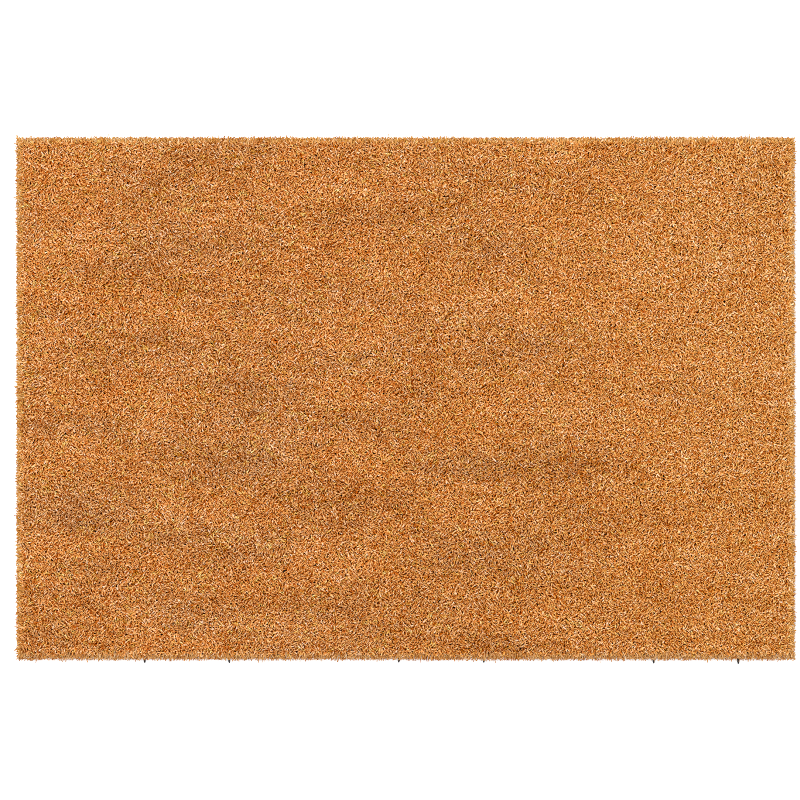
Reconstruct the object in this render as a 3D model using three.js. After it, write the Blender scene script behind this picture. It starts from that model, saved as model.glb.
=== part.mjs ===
// A rectangular coir door mat: a flat PVC backing, and the rows of cut coir tufts that stand in it.
// Millimetres, +Z up, +X along the long side. The origin is the middle of the underside.
import * as THREE from "three";

const { clamp, inverseLerp, lerp } = THREE.MathUtils;

// Driving dimensions
const MAT_LENGTH = 600; // the backing, along X
const MAT_DEPTH = 400; // the backing, along Y
const BACKING_THICKNESS = 3;
const CHANNEL_DEPTH = 1.5; // how far the tufts' roots are set into the backing
const ROW_PITCH = 10; // from one row's centre line to the next
const ROOT_WIDTH = 6; // a row where it stands in its channel
const PILE_HEIGHT = 12; // from the top of the backing to the cut tips
const TUFT_SPREAD_HEIGHT = 3; // above the backing, where the tufts have spread to meet the next row
const TIP_ROUNDING = 1.5; // height of the rounded shoulder below the cut tips
const EDGE_FLARE = 3; // how far the tips at the border lean out past the backing
const END_MARGIN = 2; // bare backing beyond both ends of a row's root
const CLEARANCE = 0.3; // between any two pieces
const SHOULDER_SEGMENTS = 3;

// Derived sizes
const ROW_COUNT = Math.floor(MAT_DEPTH / ROW_PITCH);
const ROW_HALF_WIDTH = (ROW_PITCH - CLEARANCE) / 2;
const ROOT_HALF_WIDTH = ROOT_WIDTH / 2;
const CHANNEL_HALF_WIDTH = ROOT_HALF_WIDTH + CLEARANCE;
const CHANNEL_FLOOR = BACKING_THICKNESS - CHANNEL_DEPTH;
const SPREAD_LEVEL = BACKING_THICKNESS + TUFT_SPREAD_HEIGHT;
const TIP_LEVEL = BACKING_THICKNESS + PILE_HEIGHT;
const SHOULDER_LEVEL = TIP_LEVEL - TIP_ROUNDING;

const coir = new THREE.MeshStandardMaterial({ color: 0xbf7d44, roughness: 0.95, metalness: 0 });
const pvc = new THREE.MeshStandardMaterial({ color: 0x141414, roughness: 0.7, metalness: 0 });

// The centre line of row i, counted from the front edge. The rows are centred on the backing.
function rowCentre(i) {
  return (i - (ROW_COUNT - 1) / 2) * ROW_PITCH;
}

// A section drawn with (Y, Z) points, drawn out along X to the given length and centred on X = 0.
function extrudeAlongX(section, length) {
  const settings = { depth: length, bevelEnabled: false, curveSegments: SHOULDER_SEGMENTS };
  const sectionToMat = new THREE.Matrix4().makeBasis(
    new THREE.Vector3(0, 1, 0),
    new THREE.Vector3(0, 0, 1),
    new THREE.Vector3(1, 0, 0),
  );
  return new THREE.ExtrudeGeometry(section, settings)
    .applyMatrix4(sectionToMat)
    .translate(-length / 2, 0, 0);
}

// The slab's section: a flat underside, and one open channel in the top for each row.
function backingSection() {
  const section = new THREE.Shape();
  section.moveTo(-MAT_DEPTH / 2, 0);
  section.lineTo(MAT_DEPTH / 2, 0);
  section.lineTo(MAT_DEPTH / 2, BACKING_THICKNESS);
  for (let i = ROW_COUNT - 1; i >= 0; i--) {
    const back = rowCentre(i) + CHANNEL_HALF_WIDTH;
    const front = rowCentre(i) - CHANNEL_HALF_WIDTH;
    section.lineTo(back, BACKING_THICKNESS);
    section.lineTo(back, CHANNEL_FLOOR);
    section.lineTo(front, CHANNEL_FLOOR);
    section.lineTo(front, BACKING_THICKNESS);
  }
  section.lineTo(-MAT_DEPTH / 2, BACKING_THICKNESS);
  section.closePath();
  return section;
}

// A row's section, centred on Y = 0: a narrow root, tufts that spread until they meet the next row,
// and a rounded shoulder on each side of the cut tips.
function rowSection() {
  const tipHalfWidth = ROW_HALF_WIDTH / 2;
  const section = new THREE.Shape();
  section.moveTo(-ROOT_HALF_WIDTH, CHANNEL_FLOOR + CLEARANCE);
  section.lineTo(ROOT_HALF_WIDTH, CHANNEL_FLOOR + CLEARANCE);
  section.lineTo(ROOT_HALF_WIDTH, BACKING_THICKNESS + CLEARANCE);
  section.lineTo(ROW_HALF_WIDTH, SPREAD_LEVEL);
  section.lineTo(ROW_HALF_WIDTH, SHOULDER_LEVEL);
  section.quadraticCurveTo(ROW_HALF_WIDTH, TIP_LEVEL, tipHalfWidth, TIP_LEVEL);
  section.lineTo(-tipHalfWidth, TIP_LEVEL);
  section.quadraticCurveTo(-ROW_HALF_WIDTH, TIP_LEVEL, -ROW_HALF_WIDTH, SHOULDER_LEVEL);
  section.lineTo(-ROW_HALF_WIDTH, SPREAD_LEVEL);
  section.lineTo(-ROOT_HALF_WIDTH, BACKING_THICKNESS + CLEARANCE);
  section.closePath();
  return section;
}

// Leans the pile outwards: roots stay where they are, and at the border the tufts' shoulders stand out
// by the full flare. What is between moves in proportion, so the rows keep the gaps between them.
function fanOut(geometry) {
  const points = geometry.getAttribute("position");
  const rootHalfLength = MAT_LENGTH / 2 - END_MARGIN;
  const tipHalfLength = MAT_LENGTH / 2 + EDGE_FLARE;
  for (let i = 0; i < points.count; i++) {
    const lean = clamp(inverseLerp(BACKING_THICKNESS, SHOULDER_LEVEL, points.getZ(i)), 0, 1);
    const halfLength = lerp(rootHalfLength, tipHalfLength, lean);
    points.setX(i, Math.sign(points.getX(i)) * halfLength);
    points.setY(i, points.getY(i) * (1 + (lean * EDGE_FLARE) / (MAT_DEPTH / 2)));
  }
  return geometry;
}

function makeBacking() {
  const backing = new THREE.Mesh(extrudeAlongX(backingSection(), MAT_LENGTH), pvc);
  backing.name = "pvc_backing";
  return backing;
}

function makeTuftRow(i) {
  const strip = extrudeAlongX(rowSection(), MAT_LENGTH).translate(0, rowCentre(i), 0);
  const row = new THREE.Mesh(fanOut(strip), coir);
  row.name = "tuft_row_" + String(i + 1).padStart(2, "0");
  return row;
}

const doorMat = new THREE.Group();
doorMat.add(makeBacking());
for (let i = 0; i < ROW_COUNT; i++) {
  doorMat.add(makeTuftRow(i));
}

export default doorMat;
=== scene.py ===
"""A coir door mat: every cut fibre of its pile is a small closed mesh, standing in a black PVC backing."""
import math

import bpy
import numpy as np
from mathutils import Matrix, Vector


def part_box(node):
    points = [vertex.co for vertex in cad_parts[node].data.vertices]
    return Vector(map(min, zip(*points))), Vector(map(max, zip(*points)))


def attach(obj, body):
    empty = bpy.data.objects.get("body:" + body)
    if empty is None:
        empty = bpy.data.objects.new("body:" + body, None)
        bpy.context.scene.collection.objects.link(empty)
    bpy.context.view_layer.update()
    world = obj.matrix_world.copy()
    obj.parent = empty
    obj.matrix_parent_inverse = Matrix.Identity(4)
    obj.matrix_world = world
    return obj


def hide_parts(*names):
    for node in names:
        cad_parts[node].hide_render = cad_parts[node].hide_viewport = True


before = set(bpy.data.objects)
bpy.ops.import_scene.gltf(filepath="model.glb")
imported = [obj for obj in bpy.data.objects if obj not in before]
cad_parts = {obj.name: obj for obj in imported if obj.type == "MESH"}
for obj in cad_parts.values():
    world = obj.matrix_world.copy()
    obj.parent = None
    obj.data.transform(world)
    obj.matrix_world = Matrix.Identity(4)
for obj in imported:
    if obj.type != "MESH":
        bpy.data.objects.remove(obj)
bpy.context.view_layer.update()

MM = 0.001
SEED = 41
LAY_SEED, PATCH_SEED, STREAK_SEED, WARMTH_SEED = range(SEED + 1, SEED + 5)
FLECK_SEED, CLUMP_SEED, RIDGE_SEED = range(SEED + 5, SEED + 8)
ROW_SEED = SEED + 100
SLIVER_SEED = SEED + 200

# Random fields over the mat: the size of their features along and across it, and how many waves make each
PATCH = (75 * MM, 26 * MM, 60)
STREAK = (18 * MM, 4.5 * MM, 90)
WARMTH = (60 * MM, 24 * MM, 60)
FLECK = (3 * MM, 2 * MM, 90)
CLUMP = (3.2 * MM, 2.2 * MM, 120)
RIDGES = (1.6 * MM, 3.0 * MM)  # between the fine ridges that tips stand up in, along the diagonals
RIDGE_SPREAD = 0.3  # radians
RIDGE_WAVES = 140

# The pile. Each fibre stands up from its row, and then its top lies over to one side
SPACING = 1.1 * MM  # between fibres, measured where their tops lie
JITTER = 0.5  # of that spacing
ROOT_LIFT = 0.2 * MM  # above the bottom of its CAD row
ROOT_HALF_WIDTH = 2.6 * MM  # of the strip that a CAD row's fibres are rooted in
ROOT_INSET = 1.5 * MM  # bare backing beyond the last root
ROOT_SCATTER = 1.2 * MM  # of the roots that would stand outside that strip
ROW_OVERLAP = 0.3  # of the pitch: how far neighbouring rows mingle
RADIUS = 0.45 * MM
RADIUS_SPREAD = 0.2  # of its logarithm
THICKNESS = (1.4, 1.0, 0.7)  # of the radius, at each level
REACH = 1.6 * MM  # sideways, of the part that lies over
REACH_SPREAD = 0.2  # of its logarithm
REACH_STANDOUT = 0.15  # added to that logarithm as a fibre stands out above the others
RISE = 2.2 * MM  # over that reach
RISE_SPREAD = 0.3
TUFT_SIZE = 9 * MM  # fibres this close lie much the same way, or the opposite way
DIAGONAL = 4  # how strongly they keep to the diagonals of the mat
TURN_SPREAD = 0.25  # radians
CROSS_SHARE = 0.25  # of the fibres lie across the others
STANDOUT = 0.85  # how far neighbours differ, from 0, as they fall, to 1
CONTRAST_SHARE = 0.62  # of those differences in how far a tip stands out
RIDGE_SHARE = 0.72
CLUMP_SHARE = 0.2
TIP_DEPTH = 1.1 * MM  # of a tip below the top, for each unit that it stands out less
STANDOUT_TOP = 1.2  # tips that stand out this much or more reach the top
STANDOUT_RANGE = 4  # below that, past which tips are no lower
EDGE_REACH = 4 * MM  # from the border, fibres lie outwards
EDGE_STRETCH = 2.2  # how much longer the longest of them reach
FRINGE = np.array([3.0 * MM, 4.6 * MM])  # how far single tips reach past the border
RAGGED = 1.3 * MM  # how far short of that line others stop
FRONT_LEAN = 1.0 * MM  # further out, in front
LEVELS = 3  # root, where the fibre turns over, and tip
SIDES = 3

# The short fibres that fill the pile from below
UNDER_SPACING = 2.0 * MM
UNDER_HEIGHT = (8.5 * MM, 11.5 * MM)  # of their tips above the floor
UNDER_REACH = 1.0 * MM  # either way, typically
UNDER_RISE = 2.0 * MM
UNDER_RADIUS = 0.95 * MM
# painted shade: the under fibres get a dark tone, for the deep gaps
UNDER_SHADE_TONE = 0.3
UNDER_HEIGHTS = (0.06, 0.5, 0.6)  # of each level, in the palette: kept low, in the deep, saturated painted shade

# The palette that each fibre's map points into: tone across, and root to tip up each family's band
BAKE_MAP = "OFBake"  # the name of each fibre's map into the palette
PLAIN, ORANGE, YELLOW, GREY, GOLD, BORDER, FRONT = range(7)
BAND_HUES = ("plain", "orange", "yellow", "grey", "gold", "gold", "plain")  # of each of those families
HEIGHTS = (0.06, 0.75, 0.94)  # of each level, in its band, where it picks up the painted shade
CELL = 0.004  # the corners at one level share a spot this large
TONE = 0.6  # of a fibre whose tip is at the very top
TONE_SPREAD = 0.07
SHADE_TONE_FALL = 0.11 / MM  # painted shade: darker down to the tips that are cut shorter, lower in the pile
TONE_RANGE = (0.02, 0.97)
PATCH_TONE = 0.016
RIGHT_PAINTED_LIGHT = 0.062  # painted light: how much paler the pile grows towards each side, and the back, than it is in the middle
LEFT_PAINTED_LIGHT = 0.03
BACK_PAINTED_LIGHT = 0.012
LIFT_WARMTH = 24  # paler places are warmer too, the painted light towards the sides included
WARMTH_SHARE = 0.45  # of the warmth field
WARMTH_SPREAD = 0.4  # among neighbours
WARM = 0.7  # fibres are orange above this warmth, and grey below its negative
YELLOW_FLECK = 1.3  # fibres are yellow where the flecks are stronger
GOLD_SHARE = 0.1  # of the fibres in the middle
GOLD_RIGHT_PAINTED_LIGHT = 0.6  # painted light: more of them at the right, where the pile is painted paler and warmer
BORDER_WIDTH = 4 * MM  # of the last two families, and of a second helping of fibres
BORDER_SHARE = (0.1, 1)  # of that width, as it varies from fibre to fibre

# Each hue's colours from the darkest tone to the palest
TONE_PLACES = (0.0, 0.3, 0.6, 1.0)
HUES = {
    "plain": ((126, 45, 0), (171, 93, 0), (205, 159, 107), (240, 234, 236)),
    "orange": ((131, 44, 0), (179, 95, 0), (213, 160, 99), (246, 233, 226)),
    "yellow": ((124, 52, 0), (170, 104, 0), (206, 169, 98), (236, 241, 204)),
    "grey": ((117, 44, 4), (162, 91, 8), (194, 154, 113), (231, 227, 228)),
    "gold": ((131, 47, 0), (178, 98, 0), (212, 162, 94), (245, 236, 222)),
}

# Painted shade that those colours are multiplied by, from root to tip: darker and more saturated down in
# the pile, where less light reaches
INNER_PAINTED_SHADE = [
    (0.0, (0.56, 0.4, 0.24, 1)),
    (0.3, (0.75, 0.46, 0.2, 1)),
    (0.5, (1.0, 0.52, 0.06, 1)),
    (0.75, (1.0, 0.73, 0.3, 1)),
    (0.94, (1, 1, 1, 1)),
]
# A milder painted shade for the border and front families: darker towards the root, and darker overall
BORDER_PAINTED_SHADE = [
    (0.0, (0.56, 0.4, 0.24, 1)),
    (0.4, (0.68, 0.56, 0.4, 1)),
    (0.75, (0.68, 0.6, 0.44, 1)),
    (0.94, (0.72, 0.64, 0.47, 1)),
]

MOTTLE_STRETCH = (60, 12, 1)
MOTTLE_SCALE = 3.0
MOTTLE_DARK = (0.72, 0.68, 0.62, 1)
MOTTLE_SHARE = 0.6
COIR_SPECULAR = 0.04

PVC_BLACKS = ((10, 10, 11), (24, 23, 23))
PVC_SPECULAR = 0.3
PVC_GRAIN_SCALE = 900.0
PVC_CLOUD_SCALE = 25.0
PVC_GRAIN_DEPTH = 0.3 * MM
PVC_GRAIN_STRENGTH = 0.5

# Slivers of PVC at even steps along the front edge, as shares of its length, with some steps bare
SLIVER_START = -0.34
SLIVER_STEP = 0.1104
SLIVER_PLACES = (0, 1, 3, 4, 6, 7)
SLIVER_SIZES = (0.9, 1.1)  # of what the rings say
SLIVER_RINGS = MM * np.array([  # out from the edge, half wide, half thick
    (-1.0, 0.9, 0.7),
    (2.0, 0.8, 0.6),
    (5.4, 0.75, 0.5),
    (7.2, 0.5, 0.35),
])
SLIVER_BEND = 0.6  # sideways, over its length
SLIVER_DEPTH = 1.5 * MM  # below the backing's top, where it leaves the edge
SLIVER_FALL = 0.1  # over its length

# The camera
MARGIN = 0.027  # of the mat's length, beside it, both sides together
ASIDE = 0.007  # of the picture's width, from the mat's middle
BELOW = 0.0025
LENS = 200
SENSOR_WIDTH = 36
CLIP = (0.1, 100)

# The studio, in metres and watts
FLOOR_HALF = 6.0
FLOOR_DEPTH = 0.1 * MM  # below the mat
FLOOR_WHITE = 0.95
FLOOR_ROUGHNESS = 0.9
WORLD_STRENGTH = 1.0
KEY_PLACE = (-0.3, 0.3, 2.6)
KEY_SIZE = 1.6
KEY_POWER = 101


def add_waves(kx, ky, rng):
    """A random field of unit spread over the mat: the sum of waves with these wave numbers."""
    phase = rng.uniform(0, 2 * math.pi, len(kx))

    def field(x, y):
        total = np.zeros(np.shape(x))
        for a, b, c in zip(kx, ky, phase):
            total += np.cos(a * x + b * y + c)
        return total * math.sqrt(2 / len(kx))

    return field


def make_patches(seed, size_x, size_y, count):
    """A smooth field, whose features are about that large, and its waves about three times as long."""
    rng = np.random.default_rng(seed)
    kx = rng.normal(0, 1, count) * 2 * math.pi / (3 * size_x)
    ky = rng.normal(0, 1, count) * 2 * math.pi / (3 * size_y)
    return add_waves(kx, ky, rng)


def make_ripples(seed, lengths, count):
    """A field of fine ridges along both diagonals, with wavelengths in that range."""
    rng = np.random.default_rng(seed)
    number = 2 * math.pi / rng.uniform(*lengths, count)
    angle = math.pi / 4 + math.pi / 2 * rng.integers(0, 2, count) + rng.normal(0, RIDGE_SPREAD, count)
    return add_waves(number * np.cos(angle), number * np.sin(angle), rng)


def make_cells(seed, size, half_x, half_y, channels):
    """A random field over the mat made of a value at each point of a grid, and blended between them."""
    rng = np.random.default_rng(seed)
    nx = int(2 * half_x / size) + 3
    ny = int(2 * half_y / size) + 3
    grid = rng.normal(0, 1, (nx, ny, channels))

    def field(x, y):
        u = (x + half_x) / size
        v = (y + half_y) / size
        i = np.clip(u.astype(int), 0, nx - 2)
        j = np.clip(v.astype(int), 0, ny - 2)
        a = np.clip(u - i, 0, 1)
        b = np.clip(v - j, 0, 1)
        a = (a * a * (3 - 2 * a))[:, None]
        b = (b * b * (3 - 2 * b))[:, None]
        front = grid[i, j] * (1 - a) + grid[i + 1, j] * a
        back = grid[i, j + 1] * (1 - a) + grid[i + 1, j + 1] * a
        return front * (1 - b) + back * b

    return field


def make_contrast(rng, shape, standout):
    """Random values on a grid, each unlike those around it, of unit spread."""
    values = rng.normal(0, 1, shape)
    padded = np.pad(values, 1, mode="edge")
    around = sum(padded[i:i + shape[0], j:j + shape[1]] for i in range(3) for j in range(3)) / 9
    values = values - standout * around
    return values / values.std()


def unit(v):
    return v / np.maximum(np.linalg.norm(v, axis=-1, keepdims=True), 1e-9)


class Pile:
    """Where the frame says that the pile is, and every fibre's line, size and row."""

    def __init__(self):
        low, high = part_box("pvc_backing")
        self.half = np.array([high.x, high.y])
        self.rows = sorted(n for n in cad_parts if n.startswith("tuft_row_"))
        self.pitch = (high.y - low.y) / len(self.rows)
        first_low, first_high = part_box(self.rows[0])
        self.root_z = first_low.z + ROOT_LIFT
        self.tip_z = first_high.z
        self.border = np.array([first_high.x, -first_low.y])
        self.patch = make_patches(PATCH_SEED, *PATCH)
        self.streak = make_patches(STREAK_SEED, *STREAK)
        self.warmth = make_patches(WARMTH_SEED, *WARMTH)
        self.fleck = make_patches(FLECK_SEED, *FLECK)
        self.clump = make_patches(CLUMP_SEED, *CLUMP)
        self.ridges = make_ripples(RIDGE_SEED, RIDGES, RIDGE_WAVES)
        self.lay = make_cells(LAY_SEED, TUFT_SIZE, *self.border, 2)
        self.rng = np.random.default_rng(SEED)
        whole = self.top_layer(0 * self.border)
        rim = self.top_layer(self.border - BORDER_WIDTH)
        self.layers = [whole, rim, self.under_layer()]

    def row_centre(self, i):
        return (i - (len(self.rows) - 1) / 2) * self.pitch

    def grid(self, spacing):
        """Jittered points that fill the mat, and how many there are each way."""
        counts = np.round(2 * self.border / spacing).astype(int)
        axes = [(np.arange(n) + 0.5) / n * 2 - 1 for n in counts]
        points = np.stack(np.meshgrid(*axes, indexing="ij"), -1).reshape(-1, 2) * self.border
        return points + self.rng.uniform(-JITTER, JITTER, points.shape) * spacing, tuple(counts)

    def pick_rows(self, middle):
        """Each fibre belongs to the row below it, or near two rows' meeting line to either."""
        place = middle[:, 1] / self.pitch + len(self.rows) / 2 - 0.5
        nearest = np.round(place)
        aside = place - nearest
        share = np.clip((np.abs(aside) - 0.5 + ROW_OVERLAP) / (2 * ROW_OVERLAP), 0, 1)
        step = np.sign(aside) * (self.rng.uniform(0, 1, len(middle)) < share)
        return np.clip(nearest + step, 0, len(self.rows) - 1).astype(int)

    def lay_directions(self, middle):
        """The way that each fibre lies: along its tuft's diagonal or across it, either way round."""
        rng = self.rng
        n = len(middle)
        tuft = np.tanh(DIAGONAL * self.lay(*middle.T))
        angle = np.arctan2(tuft[:, 1], tuft[:, 0]) + rng.normal(0, TURN_SPREAD, n)
        angle += math.pi * rng.integers(0, 2, n)
        angle += math.pi / 2 * (rng.uniform(0, 1, n) < CROSS_SHARE)
        return np.stack([np.cos(angle), np.sin(angle)], 1)

    def top_layer(self, hole):
        """The fibres that show, but for a hole of that half size: standing out decides height, and a tone
        with painted shade for the lower tips.
        """
        rng = self.rng
        middle, counts = self.grid(SPACING)
        n = len(middle)
        stand = CONTRAST_SHARE * make_contrast(rng, counts, STANDOUT).ravel()
        stand += RIDGE_SHARE * self.ridges(*middle.T)
        stand += CLUMP_SHARE * self.clump(*middle.T)
        depth = TIP_DEPTH * np.clip(STANDOUT_TOP - stand, 0, STANDOUT_RANGE)
        reach = REACH * np.exp(rng.normal(0, REACH_SPREAD, n) + REACH_STANDOUT * stand)
        way = self.lay_directions(middle) * reach[:, None]
        outer = self.border - np.abs(middle) < EDGE_REACH
        longer = 1 + EDGE_STRETCH * rng.uniform(0, 1, (n, 1)) ** 3
        way = np.where(outer, np.sign(middle) * np.abs(way) * longer, way)
        rise = RISE * np.exp(rng.normal(0, RISE_SPREAD, n))
        # painted shade: the lower a tip, the darker its tone
        tone = rng.normal(TONE, TONE_SPREAD, n) - SHADE_TONE_FALL * depth
        radius = RADIUS * np.exp(rng.normal(0, RADIUS_SPREAD, n))
        keep = (np.abs(middle) >= hole).any(1)
        parts = (part[keep] for part in (middle, way, self.tip_z - depth, rise, radius, tone))
        return self.fibres(*parts, HEIGHTS)

    def under_layer(self):
        """Short, upright fibres, dark with painted shade, which close the gaps between the others."""
        rng = self.rng
        middle, _ = self.grid(UNDER_SPACING)
        middle *= 1 - FRINGE / self.border
        n = len(middle)
        way = rng.normal(0, UNDER_REACH, (n, 2))
        tip_z = rng.uniform(*UNDER_HEIGHT, n)
        tone = rng.normal(UNDER_SHADE_TONE, TONE_SPREAD, n)
        radius = UNDER_RADIUS * np.exp(rng.normal(0, RADIUS_SPREAD, n))
        return self.fibres(middle, way, tip_z, np.full(n, UNDER_RISE), radius, tone, UNDER_HEIGHTS)

    def fibres(self, middle, way, tip_z, rise, radius, tone, heights):
        """A layer's fibres: their lines, radii, tones, heights in the palette, and rows."""
        n = len(middle)
        past = self.rng.uniform(0, 1, (n, 1)) ** 2 * FRINGE
        short = self.rng.uniform(0, 1, (n, 1)) * RAGGED
        limit = self.border + past - short
        front = np.clip(1 - (middle[:, 1] + self.border[1]) / EDGE_REACH, 0, 1)
        middle[:, 1] -= FRONT_LEAN * front
        limit[:, 1] += FRONT_LEAN * front
        turn = middle - way / 2
        tip = middle + way / 2
        turn += np.clip(tip, -limit, limit) - tip
        tip = np.clip(tip, -limit, limit)
        turn = np.clip(turn, -self.border, self.border)
        row = self.pick_rows(middle)
        root = self.roots(turn, row)
        line = np.empty((n, LEVELS, 3))
        line[:, :, :2] = np.stack([root, turn, tip], 1)
        line[:, :, 2] = np.stack([np.full(n, self.root_z), tip_z - rise, tip_z], 1)
        heights = np.tile(heights, (n, 1))
        return {"line": line, "radius": radius, "tone": tone, "heights": heights, "row": row}

    def roots(self, turn, row):
        """Straight below where each fibre turns over, or just inside its row's strip."""
        n = len(turn)
        centre = self.row_centre(row)
        end = self.half[0] - ROOT_INSET
        low = np.stack([np.full(n, -end), centre - ROOT_HALF_WIDTH], 1)
        high = np.stack([np.full(n, end), centre + ROOT_HALF_WIDTH], 1)
        spare = self.rng.uniform(0, ROOT_SCATTER, turn.shape)
        return np.where(turn < low, low + spare, np.where(turn > high, high - spare, turn))

    def row_fibres(self, i):
        """One row's fibres: their lines, radii, tones, and heights in the palette."""
        picked = [(layer, layer["row"] == i) for layer in self.layers]
        keys = ("line", "radius", "tone", "heights")
        return [np.concatenate([layer[key][mine] for layer, mine in picked]) for key in keys]


def tubes(points, radius, rng):
    """The corners of a closed three-sided tube along each line: (fibres, levels, sides, 3)."""
    n = len(points)
    step = unit(np.diff(points, axis=1))
    along = np.concatenate([step[:, :1], unit(step[:, :-1] + step[:, 1:]), step[:, -1:]], 1)
    turn = rng.uniform(0, 2 * math.pi, n)
    side = np.stack([np.cos(turn), np.sin(turn), np.zeros(n)], 1)[:, None]
    across = unit(np.cross(along, side))
    other = np.cross(along, across)
    thickness = radius[:, None] * np.array(THICKNESS)
    corners = np.empty((n, LEVELS, SIDES, 3))
    for k in range(SIDES):
        a = 2 * math.pi * k / SIDES
        corners[:, :, k] = points + thickness[..., None] * (math.cos(a) * across + math.sin(a) * other)
    return corners


def tube_faces(n):
    """Corner numbers of each tube's faces, all quads first and then the two end triangles."""
    quads = []
    for level in range(LEVELS - 1):
        for k in range(SIDES):
            a = level * SIDES + k
            b = level * SIDES + (k + 1) % SIDES
            quads.append((a, b, b + SIDES, a + SIDES))
    last = (LEVELS - 1) * SIDES
    ends = [(0, 2, 1), (last, last + 1, last + 2)]
    base = np.arange(n)[:, None, None] * (LEVELS * SIDES)
    return (np.array(quads)[None] + base).reshape(-1, 4), (np.array(ends)[None] + base).reshape(-1, 3)


def lift_and_painted_light(pile, tip):
    """How much paler the pile is at each tip: in streaks and patches, and with painted light towards the
    sides and back.
    """
    x, y = tip.T
    right, back = (tip / pile.border).T
    lift = PATCH_TONE * (pile.patch(x, y) + pile.streak(x, y))
    # painted light: paler towards the sides and the back
    return lift + RIGHT_PAINTED_LIGHT * np.maximum(right, 0) + LEFT_PAINTED_LIGHT * np.maximum(-right, 0) + BACK_PAINTED_LIGHT * back


def pick_families(pile, tip, lift, rng):
    """Each fibre's family: by its place at the border, or at the right as painted light, or by the flecks
    and warmth there.
    """
    n = len(tip)
    x, y = tip.T
    # warmth follows the lift, painted light included, and gold grows towards the right as painted light
    warmth = WARMTH_SHARE * pile.warmth(x, y) + LIFT_WARMTH * lift + rng.normal(0, WARMTH_SPREAD, n)
    gold = rng.uniform(0, 1, n) < GOLD_SHARE + GOLD_RIGHT_PAINTED_LIGHT * x / pile.border[0]
    edge = BORDER_WIDTH * rng.uniform(*BORDER_SHARE, n)
    choices = {
        FRONT: pile.border[1] + y < edge,
        BORDER: (pile.border - np.abs(tip)).min(1) < edge,
        GOLD: gold,
        YELLOW: pile.fleck(x, y) > YELLOW_FLECK,
        ORANGE: warmth > WARM,
        GREY: warmth < -WARM,
    }
    return np.select(list(choices.values()), list(choices), PLAIN)


def palette_map(pile, tip, tone, heights, rng):
    """Each corner's place in the palette: (fibres, levels, sides, 2)."""
    lift = lift_and_painted_light(pile, tip)
    tone = np.clip(tone + lift, *TONE_RANGE)
    family = pick_families(pile, tip, lift, rng)
    spot = np.empty((len(tip), LEVELS, SIDES, 2))
    spot[..., 0] = tone[:, None, None] + CELL * np.array([0, 0.5, 1])
    spot[..., 1] = (family[:, None] + heights)[..., None] / len(BAND_HUES)
    spot[..., 1] += CELL * np.array([0, 1, 0])
    return spot


def tube_object(name, corners, spots, material):
    """One object of closed tubes, whose map holds each corner's place in the palette."""
    quads, ends = tube_faces(len(corners))
    mesh = bpy.data.meshes.new(name)
    mesh.vertices.add(corners.size // 3)
    mesh.vertices.foreach_set("co", corners.astype(np.float32).ravel())
    loops = np.concatenate([quads.ravel(), ends.ravel()])
    mesh.loops.add(len(loops))
    mesh.loops.foreach_set("vertex_index", loops.astype(np.int32))
    sizes = np.concatenate([np.full(len(quads), 4), np.full(len(ends), 3)])
    starts = np.concatenate([[0], np.cumsum(sizes)[:-1]])
    mesh.polygons.add(len(sizes))
    mesh.polygons.foreach_set("loop_start", starts.astype(np.int32))
    mesh.update(calc_edges=True)
    mesh.polygons.foreach_set("use_smooth", np.ones(len(sizes), bool))
    layer = mesh.uv_layers.new(name=BAKE_MAP)
    layer.uv.foreach_set("vector", spots.reshape(-1, 2)[loops].astype(np.float32).ravel())
    mesh.materials.append(material)
    return bpy.data.objects.new(name, mesh)


def make_row(pile, i, material):
    """The fibres that replace one CAD row."""
    rng = np.random.default_rng(ROW_SEED + i)
    lines, radii, tones, heights = pile.row_fibres(i)
    corners = tubes(lines, radii, rng)
    spots = palette_map(pile, lines[:, -1, :2], tones, heights, rng)
    row = tube_object(pile.rows[i].replace("tuft", "coir"), corners, spots, material)
    bpy.context.scene.collection.objects.link(row)
    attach(row, "root")
    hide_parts(pile.rows[i])


def sliver_corners(x, front, top, size):
    """Four corners for each ring of a sliver, from inside the backing's edge to its end."""
    long, wide, bent = size
    corners = []
    for out, half, thick in SLIVER_RINGS:
        bend = SLIVER_BEND * out * (bent - 1)
        z = top - SLIVER_DEPTH - SLIVER_FALL * out
        for dx, dz in ((-half, -thick), (half, -thick), (half, thick), (-half, thick)):
            corners.append((x + dx * wide + bend, front - out * long, z + dz))
    return corners


def sliver_faces(base):
    """The faces of the closed shape that a sliver's rings make, from its first corner's number on."""
    faces = [(base, base + 1, base + 2, base + 3)]
    for ring in range(len(SLIVER_RINGS) - 1):
        for k in range(4):
            a = base + ring * 4 + k
            b = base + ring * 4 + (k + 1) % 4
            faces.append((a, a + 4, b + 4, b))
    last = base + (len(SLIVER_RINGS) - 1) * 4
    faces.append((last + 3, last + 2, last + 1, last))
    return faces


def make_slivers(backing_box, material):
    """Slivers of PVC left along the front edge where the mat was cut from its roll."""
    low, high = backing_box
    rng = np.random.default_rng(SLIVER_SEED)
    corners = []
    faces = []
    for step in SLIVER_PLACES:
        x = (low.x + high.x) / 2 + (SLIVER_START + SLIVER_STEP * step) * (high.x - low.x)
        faces += sliver_faces(len(corners))
        corners += sliver_corners(x, low.y, high.z, rng.uniform(*SLIVER_SIZES, 3))
    mesh = bpy.data.meshes.new("pvc_slivers")
    mesh.from_pydata(corners, [], faces)
    mesh.materials.append(material)
    slivers = bpy.data.objects.new("pvc_slivers", mesh)
    bpy.context.scene.collection.objects.link(slivers)
    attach(slivers, "root")


def linear(rgb):
    """An sRGB colour of 0 to 255 as scene-linear RGBA."""
    out = []
    for c in rgb:
        c = c / 255
        out.append(c / 12.92 if c <= 0.04045 else ((c + 0.055) / 1.055) ** 2.4)
    return (*out, 1.0)


def grey(value):
    return (value, value, value, 1)


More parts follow.
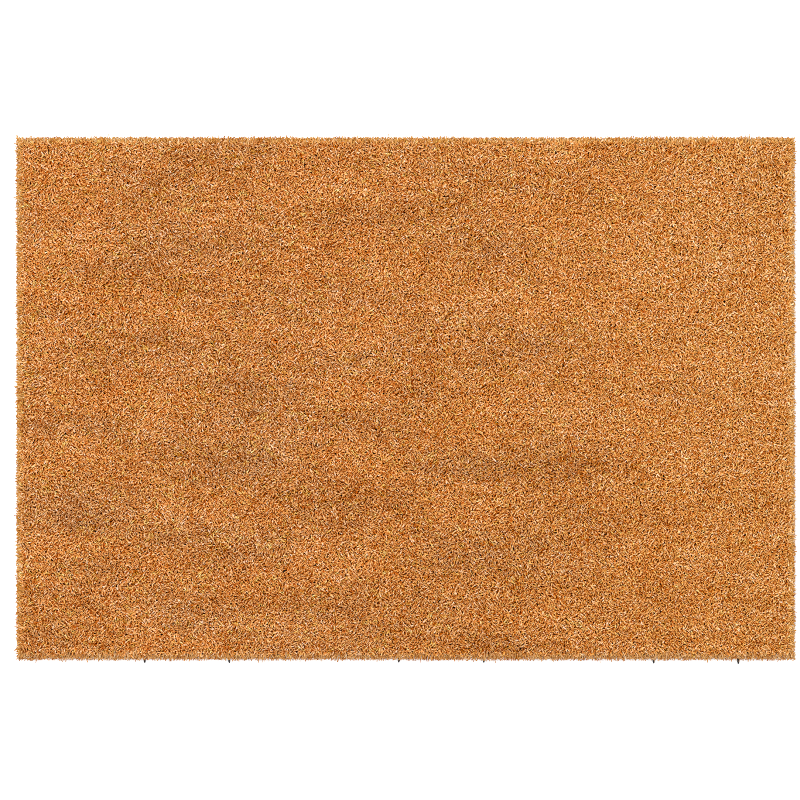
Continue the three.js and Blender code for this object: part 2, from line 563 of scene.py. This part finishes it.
class Nodes:
    """Short calls for building a material's node tree."""

    def __init__(self, name):
        self.material = bpy.data.materials.new(name)
        self.material.use_nodes = True
        self.tree = self.material.node_tree
        self.shader = self.tree.nodes["Principled BSDF"]

    def new(self, kind, **settings):
        node = self.tree.nodes.new(kind)
        for key, value in settings.items():
            setattr(node, key, value)
        return node

    def link(self, out, into):
        self.tree.links.new(out, into)

    def feed(self, socket, value):
        if isinstance(value, bpy.types.NodeSocket):
            self.link(value, socket)
        else:
            socket.default_value = value

    def math(self, operation, a, b=0.0):
        node = self.new("ShaderNodeMath", operation=operation)
        self.feed(node.inputs[0], a)
        self.feed(node.inputs[1], b)
        return node.outputs[0]

    def ramp(self, value, stops):
        node = self.new("ShaderNodeValToRGB")
        elements = node.color_ramp.elements
        while len(elements) < len(stops):
            elements.new(0.5)
        for element, (place, colour) in zip(elements, stops):
            element.position = place
            element.color = colour
        self.feed(node.inputs[0], value)
        return node.outputs[0]

    def mix(self, factor, a, b, blend="MIX"):
        node = self.new("ShaderNodeMix", data_type="RGBA", blend_type=blend)
        self.feed(node.inputs[0], factor)
        self.feed(node.inputs[6], a)
        self.feed(node.inputs[7], b)
        return node.outputs[2]

    def noise(self, vector, scale, detail=2.0):
        node = self.new("ShaderNodeTexNoise")
        self.link(vector, node.inputs["Vector"])
        node.inputs["Scale"].default_value = scale
        node.inputs["Detail"].default_value = detail
        return node.outputs["Fac"]


def palette(n, place):
    """The colour at a place in the palette: its band's hue at that tone, times a painted shade by height
    in the band.
    """
    axes = n.new("ShaderNodeSeparateXYZ")
    n.link(place, axes.inputs[0])
    bands = n.math("MULTIPLY", axes.outputs["Y"], len(BAND_HUES))
    hues = {}
    for name, colours in HUES.items():
        hues[name] = n.ramp(axes.outputs["X"], [*zip(TONE_PLACES, map(linear, colours))])
    colour = hues[BAND_HUES[PLAIN]]
    for band in range(ORANGE, len(BAND_HUES)):
        colour = n.mix(n.math("GREATER_THAN", bands, band), colour, hues[BAND_HUES[band]])
    height = n.math("FRACT", bands)
    # painted shade by height: the inner ramp, or the milder one for the bands above the border
    inner = n.ramp(height, INNER_PAINTED_SHADE)
    outer = n.ramp(height, BORDER_PAINTED_SHADE)
    painted_shade = n.mix(n.math("GREATER_THAN", bands, BORDER), inner, outer)
    return n.mix(1.0, colour, painted_shade, "MULTIPLY")


def coir_material():
    """The palette's colours with a mottle of darker, glossier stretches along the fibres."""
    n = Nodes("coir")
    place = n.new("ShaderNodeUVMap", uv_map=BAKE_MAP).outputs["UV"]
    colour = palette(n, place)
    stretch = n.new("ShaderNodeMapping")
    stretch.inputs["Scale"].default_value = MOTTLE_STRETCH
    n.link(place, stretch.inputs["Vector"])
    mottle = n.noise(stretch.outputs[0], MOTTLE_SCALE)
    dark = n.ramp(mottle, [(0.3, MOTTLE_DARK), (0.6, grey(1))])
    n.link(n.mix(MOTTLE_SHARE, colour, dark, "MULTIPLY"), n.shader.inputs["Base Color"])
    rough = n.ramp(mottle, [(0.3, grey(0.62)), (0.7, grey(0.85))])
    n.link(rough, n.shader.inputs["Roughness"])
    n.shader.inputs["Specular IOR Level"].default_value = COIR_SPECULAR
    return n.material


def pvc_material():
    """Matte black PVC with a fine pebbled skin."""
    n = Nodes("pvc")
    place = n.new("ShaderNodeTexCoord").outputs["Object"]
    grain = n.noise(place, PVC_GRAIN_SCALE, 3.0)
    cloud = n.noise(place, PVC_CLOUD_SCALE)
    black = n.ramp(cloud, [*zip((0.3, 0.7), map(linear, PVC_BLACKS))])
    rough = n.ramp(grain, [(0.3, grey(0.5)), (0.7, grey(0.75))])
    n.link(black, n.shader.inputs["Base Color"])
    n.link(rough, n.shader.inputs["Roughness"])
    n.shader.inputs["Specular IOR Level"].default_value = PVC_SPECULAR
    bump = n.new("ShaderNodeBump")
    bump.inputs["Strength"].default_value = PVC_GRAIN_STRENGTH
    bump.inputs["Distance"].default_value = PVC_GRAIN_DEPTH
    n.link(grain, bump.inputs["Height"])
    n.link(bump.outputs[0], n.shader.inputs["Normal"])
    return n.material


def floor_material():
    n = Nodes("floor")
    n.shader.inputs["Base Color"].default_value = grey(FLOOR_WHITE)
    n.shader.inputs["Roughness"].default_value = FLOOR_ROUGHNESS
    n.shader.inputs["Specular IOR Level"].default_value = 0.0
    return n.material


def make_floor():
    mesh = bpy.data.meshes.new("floor")
    square = ((-1, -1), (1, -1), (1, 1), (-1, 1))
    corners = [(x * FLOOR_HALF, y * FLOOR_HALF, -FLOOR_DEPTH) for x, y in square]
    mesh.from_pydata(corners, [], [(0, 1, 2, 3)])
    mesh.materials.append(floor_material())
    floor = bpy.data.objects.new("floor", mesh)
    bpy.context.scene.collection.objects.link(floor)


def make_camera(pile):
    """Straight above and far off, with a narrow margin beside the mat, which is a little off centre."""
    data = bpy.data.cameras.new("camera")
    data.lens = LENS
    data.sensor_width = SENSOR_WIDTH
    data.clip_start, data.clip_end = CLIP
    width = 2 * pile.border[0] * (1 + MARGIN)
    camera = bpy.data.objects.new("camera", data)
    camera.location = (-ASIDE * width, -BELOW * width, pile.tip_z + width * LENS / SENSOR_WIDTH)
    bpy.context.scene.collection.objects.link(camera)
    bpy.context.scene.camera = camera


def make_lights():
    """A white surround, and a large soft key light above the mat's back left."""
    world = bpy.data.worlds.new("studio")
    world.use_nodes = True
    background = world.node_tree.nodes["Background"]
    background.inputs["Color"].default_value = grey(1)
    background.inputs["Strength"].default_value = WORLD_STRENGTH
    bpy.context.scene.world = world
    data = bpy.data.lights.new("key", "AREA")
    data.shape = "DISK"
    data.size = KEY_SIZE
    data.energy = KEY_POWER
    key = bpy.data.objects.new("key", data)
    key.location = KEY_PLACE
    direction = -key.location.normalized()
    key.rotation_euler = direction.to_track_quat("-Z", "Y").to_euler()
    bpy.context.scene.collection.objects.link(key)


def dress_backing(material):
    """The backing keeps its CAD mesh and gets its material."""
    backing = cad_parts["pvc_backing"]
    backing.data.materials.clear()
    backing.data.materials.append(material)


def main():
    scene = bpy.context.scene
    scene.view_settings.view_transform = "Standard"
    scene.cycles.use_denoising = False
    scene.cycles.filter_width = 1.0
    pile = Pile()
    make_camera(pile)
    make_lights()
    make_floor()
    coir = coir_material()
    for i in range(len(pile.rows)):
        make_row(pile, i, coir)
    pvc = pvc_material()
    dress_backing(pvc)
    make_slivers(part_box("pvc_backing"), pvc)


main()
